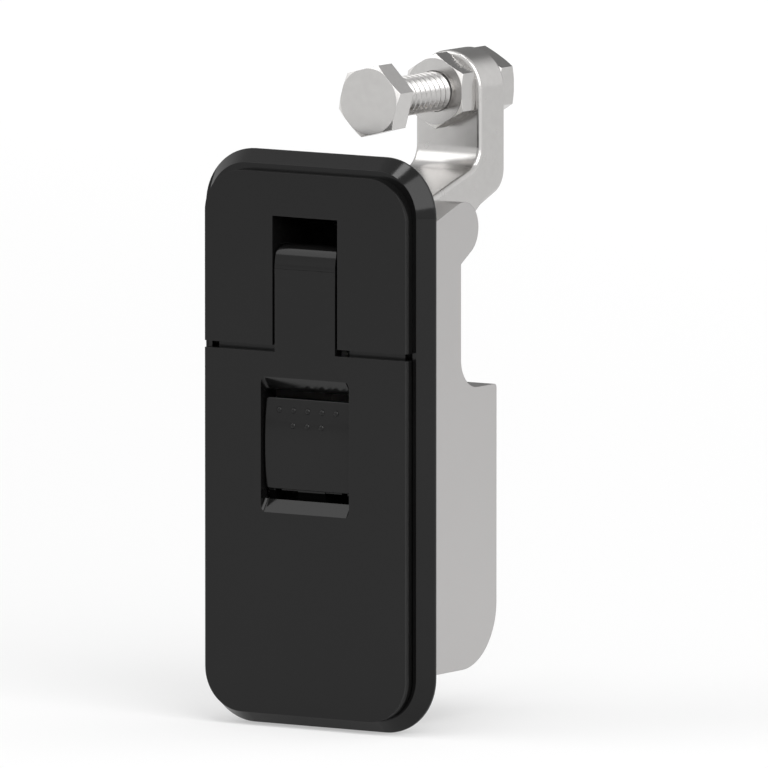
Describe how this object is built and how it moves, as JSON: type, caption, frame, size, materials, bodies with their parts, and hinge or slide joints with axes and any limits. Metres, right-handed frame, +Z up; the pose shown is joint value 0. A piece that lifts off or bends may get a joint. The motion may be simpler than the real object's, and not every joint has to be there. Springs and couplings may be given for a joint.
{
  "type": "flush lever compression latch",
  "caption": "Flush black lever latch with a trigger release, a rear cam on a linkage and an adjustable grip bolt that clamps a door against its frame.",
  "frame": {"origin": "centre of the flange's back face, on the panel plane, midway between the four mounting studs", "axes": "+X to the right seen from the front, +Y into the panel (out of the back), +Z up towards the grip bolt"},
  "size_m": [0.054, 0.0682, 0.1303],
  "materials": {
    "black_finish": "smooth black powder coat, semi-gloss",
    "zinc_casting": "satin die-cast",
    "bright_steel": "bright nickel plate",
    "plated_steel": "zinc plated",
    "spring_steel": "drawn wire",
    "seal_rubber": "matt sponge rubber",
    "brass_washer": "plain"
  },
  "bodies": {
    "frame": {"bezel_frame": "black_finish", "upper_cover": "black_finish", "panel_gasket": "seal_rubber", "rear_housing": "zinc_casting", "housing_screws": "plated_steel", "cover_screws": "plated_steel", "mounting_studs": "plated_steel", "lever_pin": "plated_steel", "lever_pin_clips": "spring_steel", "cam_pin": "plated_steel", "catch_pin": "plated_steel"},
    "lever": {"lever": "black_finish", "crank_pin": "plated_steel", "trigger_pin": "plated_steel", "trigger_spring": "spring_steel"},
    "link": {"connecting_link": "plated_steel"},
    "cam": {"cam": "bright_steel", "cam_washers": "brass_washer", "link_pin": "plated_steel", "front_jam_nut": "bright_steel", "rear_jam_nut": "bright_steel"},
    "grip_bolt": {"grip_bolt": "bright_steel"},
    "trigger": {"trigger": "black_finish"}
  },
  "joints": [
    {"name": "lever_hinge", "type": "hinge", "parent": "frame", "child": "lever", "pos_m": [0, 0.001, 0.0312], "axis": [-1, 0, 0], "range_deg": [0, 78]},
    {"name": "link_hinge", "type": "hinge", "parent": "lever", "child": "link", "pos_m": [0, 0.00837, 0.02604], "axis": [-1, 0, 0], "range_deg": [-78, 0]},
    {"name": "cam_hinge", "type": "hinge", "parent": "frame", "child": "cam", "pos_m": [0, 0.0205, 0.0411], "axis": [-1, 0, 0], "range_deg": [0, 78]},
    {"name": "trigger_hinge", "type": "hinge", "parent": "lever", "child": "trigger", "pos_m": [0, -0.0005, -0.0146], "axis": [-1, 0, 0], "range_deg": [0, 10], "stiffness_Nm_per_rad": 0.05, "springref_deg": -20.05, "deforming": ["trigger_spring"]},
    {"name": "grip_slide", "type": "slide", "parent": "cam", "child": "grip_bolt", "axis": [0, 1, 0], "range_m": [-0.002, 0.012]}
  ],
  "couplings": [
    {"joint": "link_hinge", "follows": "lever_hinge", "ratio": -1},
    {"joint": "cam_hinge", "follows": "lever_hinge", "ratio": 1}
  ]
}
